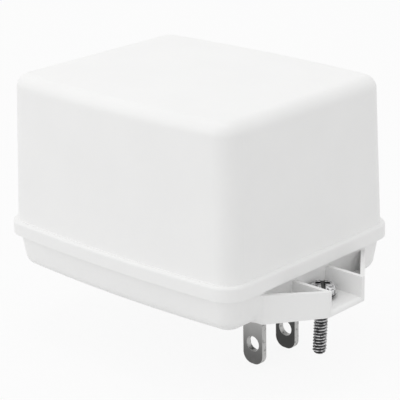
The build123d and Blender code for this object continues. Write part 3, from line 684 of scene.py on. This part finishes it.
def cut_drive(graph, size, head):
    """Cut the slot and the two arms of the cross into the head."""
    cut = graph.add("GeometryNodeMeshBoolean", {"operation": "DIFFERENCE", "solver": "EXACT"})
    graph.tree.links.new(head.outputs[0], cut.inputs["Mesh 1"])
    lift = graph.add("ShaderNodeCombineXYZ", i2=size["Head height"])
    wide = size["Slot"] * 1.1
    arms = ((size["Slot"], size["Slot length"]), (size["Cross"], wide), (wide, size["Cross"]))
    for long_x, long_y in arms:
        sides = graph.add(
            "ShaderNodeCombineXYZ", i0=long_x, i1=long_y, i2=0.62 * size["Head height"]
        )
        block = graph.add("GeometryNodeMeshCube", Size=sides.outputs[0])
        block = graph.add(
            "GeometryNodeTransform", Geometry=block.outputs[0], Translation=lift.outputs[0]
        )
        graph.tree.links.new(block.outputs[0], cut.inputs["Mesh 2"])
    return cut


def screw_tree():
    """Geometry nodes that turn each point of a mesh into a threaded screw pointing down from it."""
    tree = bpy.data.node_groups.new("Threaded screw", "GeometryNodeTree")
    face = tree.interface
    face.new_socket(name="Geometry", in_out="OUTPUT", socket_type="NodeSocketGeometry")
    face.new_socket(name="Geometry", in_out="INPUT", socket_type="NodeSocketGeometry")
    for name in (
        "Pitch", "Diameter", "Depth", "Length", "Head", "Head height", "Slot", "Slot length",
        "Cross", "Tip", "Thread start",
    ):
        face.new_socket(name=name, in_out="INPUT", socket_type="NodeSocketFloat")
    face.new_socket(name="Turns", in_out="INPUT", socket_type="NodeSocketInt")
    face.new_socket(name="Rotation", in_out="INPUT", socket_type="NodeSocketVector")
    face.new_socket(name="Finish", in_out="INPUT", socket_type="NodeSocketMaterial")
    graph = Graph(tree)
    given = graph.add("NodeGroupInput")
    size = {s.name: Value(tree, s) for s in given.outputs if s.name not in ("", "Geometry")}

    position = graph.add("GeometryNodeInputPosition")
    place = graph.add("ShaderNodeSeparateXYZ", Vector=position.outputs[0])
    u = graph.value(place, 0) + 0.5
    v = graph.value(place, 1) + 0.5
    shank = threaded_shank(graph, size, u, v)
    head = cut_drive(graph, size, domed_head(graph, size, u, v))
    whole = graph.add("GeometryNodeJoinGeometry", Geometry=[shank.outputs[0], head.outputs[0]])
    copies = graph.add(
        "GeometryNodeInstanceOnPoints", Points=given.outputs["Geometry"],
        Instance=whole.outputs[0], Rotation=size["Rotation"],
    )
    real = graph.add("GeometryNodeRealizeInstances", Geometry=copies.outputs[0])
    painted = graph.add(
        "GeometryNodeSetMaterial", Geometry=real.outputs[0], Material=size["Finish"]
    )
    graph.add("NodeGroupOutput", Geometry=painted.outputs[0])
    return tree


def set_inputs(modifier, tree, inputs):
    """Fill a modifier's named inputs by their identifiers."""
    for socket in tree.interface.items_tree:
        if socket.item_type == "SOCKET" and socket.in_out == "INPUT" and socket.name in inputs:
            modifier[socket.identifier] = inputs[socket.name]


def grow(name, points, tree, inputs):
    """Plain mesh made by a tree from points: evaluated, copied out, its modifier removed."""
    seed_mesh = bpy.data.meshes.new(name + "_points")
    seed_mesh.from_pydata([tuple(point) for point in points], [], [])
    carrier = bpy.data.objects.new(name + "_seed", seed_mesh)
    bpy.context.scene.collection.objects.link(carrier)
    modifier = carrier.modifiers.new("Build", "NODES")
    modifier.node_group = tree
    set_inputs(modifier, tree, inputs)
    ready = carrier.evaluated_get(bpy.context.evaluated_depsgraph_get())
    mesh = bpy.data.meshes.new_from_object(ready)
    mesh.name = name
    bpy.data.objects.remove(carrier)
    return finish_mesh(name, mesh)


def finish_mesh(name, mesh):
    """Object at the origin with merged, outward faces, smooth but for its sharp edges."""
    work = bmesh.new()
    work.from_mesh(mesh)
    bmesh.ops.remove_doubles(work, verts=work.verts, dist=MESH_JOIN)
    bmesh.ops.recalc_face_normals(work, faces=work.faces)
    work.to_mesh(mesh)
    work.free()
    mesh.shade_smooth()
    mesh.set_sharp_from_angle(angle=SHARP_ANGLE)
    piece = bpy.data.objects.new(name, mesh)
    bpy.context.scene.collection.objects.link(piece)
    return piece


def screw_inputs(sizes, metal, **changes):
    """Inputs of the screw's tree: the mounting screw's own sizes but for the changes."""
    inputs = {
        "Pitch": sizes.pitch, "Diameter": sizes.diameter, "Depth": sizes.depth,
        "Length": sizes.length, "Head": sizes.head, "Head height": sizes.head_height,
        "Slot": sizes.slot, "Slot length": 1.2 * sizes.head, "Cross": 0.52 * sizes.head,
        "Tip": sizes.tip, "Thread start": 0.0, "Rotation": (0.0, 0.0, 0.0), "Finish": metal,
    }
    for name, change in changes.items():
        inputs[name.replace("_", " ")] = change
    inputs["Turns"] = math.ceil(inputs["Length"] / inputs["Pitch"]) + 3
    return inputs


def shared(name, make):
    """A tree or material that several operators use, made once."""
    for store in (bpy.data.node_groups, bpy.data.materials):
        if name in store:
            return store[name]
    return make()


def metal_finish(name, threaded):
    """The zinc plate of the screws, made once for each kind."""
    look = bpy.context.scene.transformer.metal
    return shared(name, lambda: zinc_plate(name, look.screw, threaded))


class DressCase(bpy.types.Operator):
    """Give the cover and the base their moulded finish"""
    bl_idname = "transformer.case"
    bl_label = "Case"

    def execute(self, context):
        look = context.scene.transformer.case
        plastic = moulded_plastic("case_finish", look.colour, look)
        dress(("cover", "base"), plastic)
        return {"FINISHED"}


class DressBlades(bpy.types.Operator):
    """Give the two blades their plated finish"""
    bl_idname = "transformer.blades"
    bl_label = "Blades"

    def execute(self, context):
        colour = context.scene.transformer.metal.blade
        # The last two figures set the painted dark reflection on the faces: the neutral blade's is
        # deeper and reaches the top.
        dress(("line_blade",), plated_blade("line_blade_finish", colour, 0.78, -0.1))
        dress(("neutral_blade",), plated_blade("neutral_blade_finish", colour, 0.97, 0.85))
        return {"FINISHED"}


class MakeMountingScrew(bpy.types.Operator):
    """Thread the screw that hangs in the ear"""
    bl_idname = "transformer.mounting_screw"
    bl_label = "Mounting screw"

    def execute(self, context):
        sizes = context.scene.transformer.screw
        low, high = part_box("mounting_screw")
        metal = metal_finish("threaded_steel_finish", True)
        tree = shared("Threaded screw", screw_tree)
        turn = Matrix.Rotation(sizes.turn, 4, "Z") @ Matrix.Rotation(sizes.lean, 4, "Y")
        pivot = Vector((SCREW_X, 0.0, EAR_FLOOR / 2))
        seat = pivot + turn @ Vector((0.0, 0.0, EAR_FLOOR / 2 + sizes.proud))
        rotation = tuple(turn.to_euler())
        inputs = screw_inputs(sizes, metal, Rotation=rotation)
        screw = grow("mounting_screw_threaded", [seat], tree, inputs)
        middle = sum((vertex.co for vertex in screw.data.vertices), Vector())
        middle /= len(screw.data.vertices)
        if any(not low[i] < middle[i] < high[i] for i in range(3)):
            raise RuntimeError("the mounting screw is not where the CAD has it")
        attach(screw, "root")
        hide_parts("mounting_screw")
        return {"FINISHED"}


class MakeFixings(bpy.types.Operator):
    """Thread the core screws, and finish the washers and the other screws"""
    bl_idname = "transformer.fixings"
    bl_label = "Fixings"

    def execute(self, context):
        sizes = context.scene.transformer.screw
        metal = metal_finish("threaded_steel_finish", True)
        tree = shared("Threaded screw", screw_tree)
        low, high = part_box("core_washers")
        seats = [
            (x, y, high.z)
            for x in (low.x + WASHER_RADIUS, high.x - WASHER_RADIUS)
            for y in (low.y + WASHER_RADIUS, high.y - WASHER_RADIUS)
        ]
        length = high.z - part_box("core_screws")[0].z - CORE_END
        inputs = screw_inputs(
            sizes, metal, Length=length, Pitch=CORE_PITCH, Depth=CORE_THREAD_DEPTH, Tip=CORE_TIP,
            Slot_length=0.52 * sizes.head, Thread_start=length - CORE_THREAD_LENGTH,
        )
        screws = grow("core_screws_threaded", seats, tree, inputs)
        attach(screws, "root")
        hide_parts("core_screws")
        dress(
            ("core_washers", "retainer_screw", "terminal_screw_left", "terminal_screw_right"),
            metal_finish("zinc_steel_finish", False),
        )
        return {"FINISHED"}


class DressCore(bpy.types.Operator):
    """Give the core its varnished sheets"""
    bl_idname = "transformer.core"
    bl_label = "Core"

    def execute(self, context):
        look = context.scene.transformer
        steel = varnished_sheets("core_finish", look.metal.core, look.inside.sheet / MM)
        dress(("e_laminations", "i_laminations"), steel)
        return {"FINISHED"}


class DressCoil(bpy.types.Operator):
    """Give the bobbin, the windings, the tape, the pad and the card their finishes"""
    bl_idname = "transformer.coil"
    bl_label = "Coil"

    def execute(self, context):
        look = context.scene.transformer
        dress(("bobbin",), natural_nylon("bobbin_finish", look.inside.nylon))
        copper = copper_turns("copper_finish", look.metal.copper, look.inside.wire / MM)
        dress(("primary_winding", "secondary_winding"), copper)
        dress(("primary_wrap", "secondary_wrap"), tape("tape_finish", look.inside.tape))
        dress(("top_pad",), foam("foam_finish", look.inside.foam))
        dress(("insulating_card",), pressed_paper("card_finish", look.inside.card))
        dress(("blade_retainer",), natural_nylon("retainer_finish", look.inside.bar))
        return {"FINISHED"}


class DressLeads(bpy.types.Operator):
    """Give the leads, the fuse and its sleeve their finishes"""
    bl_idname = "transformer.leads"
    bl_label = "Leads and fuse"

    def execute(self, context):
        look = context.scene.transformer
        dress(("line_lead", "fuse_lead"), wire_skin("black_lead_finish", look.inside.black_lead))
        dress(("neutral_lead",), wire_skin("white_lead_finish", look.inside.white_lead))
        yellow = wire_skin("yellow_lead_finish", look.inside.yellow_lead)
        dress(("terminal_lead_left", "terminal_lead_right"), yellow)
        dress(("thermal_fuse",), drawn_aluminium("fuse_finish", look.metal.fuse))
        dress(("fuse_sleeve",), woven_glass("sleeve_finish", look.inside.sleeve))
        return {"FINISHED"}


class DressTerminals(bpy.types.Operator):
    """Give the two terminal plates their brass"""
    bl_idname = "transformer.terminals"
    bl_label = "Terminals"

    def execute(self, context):
        brass = plain_brass("terminal_finish", context.scene.transformer.metal.brass)
        dress(("terminal_plate_left", "terminal_plate_right"), brass)
        return {"FINISHED"}


def area_lamp(name, place, aim, width, power):
    """Square soft lamp at a place, turned to a point."""
    light = bpy.data.lights.new(name, "AREA")
    light.shape = "SQUARE"
    light.size = width
    light.energy = power
    lamp = bpy.data.objects.new(name, light)
    bpy.context.scene.collection.objects.link(lamp)
    lamp.location = place
    lamp.rotation_euler = (Vector(aim) - Vector(place)).to_track_quat("-Z", "Y").to_euler()


class MakeStage(bpy.types.Operator):
    """Set up the floor, the light and the camera"""
    bl_idname = "transformer.stage"
    bl_label = "Stage"

    def execute(self, context):
        studio = context.scene.transformer.studio
        scene = context.scene
        self.make_floor(studio, Vector(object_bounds()[0]).z)
        self.make_world(studio, scene)
        area_lamp("Key lamp", KEY_PLACE, LAMP_AIM, KEY_WIDTH, studio.key)
        area_lamp("Side lamp", SIDE_PLACE, LAMP_AIM, SIDE_WIDTH, studio.side)
        self.make_camera(scene)
        scene.view_settings.view_transform = "Standard"
        return {"FINISHED"}

    def make_floor(self, studio, height):
        mesh = bpy.data.meshes.new("floor")
        signs = ((-1, -1), (1, -1), (1, 1), (-1, 1))
        corners = [(FLOOR_HALF * x, FLOOR_HALF * y, height) for x, y in signs]
        mesh.from_pydata(corners, [], [(0, 1, 2, 3)])
        floor = bpy.data.objects.new("floor", mesh)
        bpy.context.scene.collection.objects.link(floor)
        paint = Finish("floor_paint", Roughness=0.9, Specular_IOR_Level=0.1)
        paint.shader.inputs["Base Color"].default_value = tuple(studio.floor) + (1.0,)
        glow = paint.add("ShaderNodeEmission", Color=(1.0, 1.0, 1.0, 1.0), Strength=1.0)
        blend = paint.add("ShaderNodeMixShader", Fac=paint.background_seen() * FLOOR_GLOW)
        paint.tree.links.new(paint.shader.outputs[0], blend.inputs[1])
        paint.tree.links.new(glow.outputs[0], blend.inputs[2])
        paint.tree.links.new(blend.outputs[0], paint.tree.nodes["Material Output"].inputs[0])
        mesh.materials.append(paint.material)
        floor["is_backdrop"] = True

    def make_world(self, studio, scene):
        world = bpy.data.worlds.new("studio")
        scene.world = world
        world.use_nodes = True
        world.node_tree.nodes.clear()
        sky = Graph(world.node_tree)
        strength = studio.sky + (1.0 - studio.sky) * sky.background_seen()
        back = sky.add("ShaderNodeBackground", Color=(1.0, 1.0, 1.0, 1.0), Strength=strength)
        sky.add("ShaderNodeOutputWorld", Surface=back.outputs[0])

    def make_camera(self, scene):
        azimuth, elevation, roll = (math.radians(angle) for angle in CAMERA_ANGLES)
        back = Vector((
            math.sin(azimuth) * math.cos(elevation), -math.cos(azimuth) * math.cos(elevation),
            math.sin(elevation),
        ))
        right = Vector((math.cos(azimuth), math.sin(azimuth), 0.0))
        up = back.cross(right)
        across = math.cos(roll) * right + math.sin(roll) * up
        upright = -math.sin(roll) * right + math.cos(roll) * up
        aim = Vector(CAMERA_AIM) + CAMERA_SHIFT[0] * across + CAMERA_SHIFT[1] * upright
        place = (aim + CAMERA_DISTANCE * back) * MM
        turn = Matrix((across, upright, back)).transposed().to_4x4()
        lens = bpy.data.cameras.new("camera")
        lens.lens = CAMERA_LENS
        lens.sensor_width = 36.0
        lens.clip_start = 0.01
        lens.clip_end = 20.0
        camera = bpy.data.objects.new("camera", lens)
        scene.collection.objects.link(camera)
        camera.matrix_world = Matrix.Translation(place) @ turn
        scene.camera = camera


class TransformerPanel(bpy.types.Panel):
    """Sizes, colours and steps of the transformer"""
    bl_idname = "VIEW3D_PT_transformer"
    bl_label = "Plug-in transformer"
    bl_space_type = "VIEW_3D"
    bl_region_type = "UI"
    bl_category = "Transformer"

    def draw(self, context):
        choices = context.scene.transformer
        for group in ("case", "metal", "inside", "screw", "studio"):
            box = self.layout.box()
            box.label(text=group.capitalize())
            settings = getattr(choices, group)
            for name in settings.__annotations__:
                box.prop(settings, name)
        for step in OPERATORS:
            self.layout.operator(step.bl_idname)


GROUPS = (CaseLook, MetalLook, InsideLook, ThreadSizes, Studio, Transformer)
OPERATORS = (
    DressCase, DressBlades, MakeMountingScrew, MakeFixings, DressCore, DressCoil, DressLeads,
    DressTerminals, MakeStage,
)


def register():
    for item in GROUPS + OPERATORS + (TransformerPanel,):
        bpy.utils.register_class(item)
    bpy.types.Scene.transformer = bpy.props.PointerProperty(type=Transformer)


def unregister():
    del bpy.types.Scene.transformer
    for item in reversed(GROUPS + OPERATORS + (TransformerPanel,)):
        bpy.utils.unregister_class(item)


def main():
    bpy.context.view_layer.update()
    register()
    bpy.ops.transformer.case()
    bpy.ops.transformer.blades()
    bpy.ops.transformer.mounting_screw()
    bpy.ops.transformer.fixings()
    bpy.ops.transformer.core()
    bpy.ops.transformer.coil()
    bpy.ops.transformer.leads()
    bpy.ops.transformer.terminals()
    bpy.ops.transformer.stage()


if __name__ == "__main__":
    main()
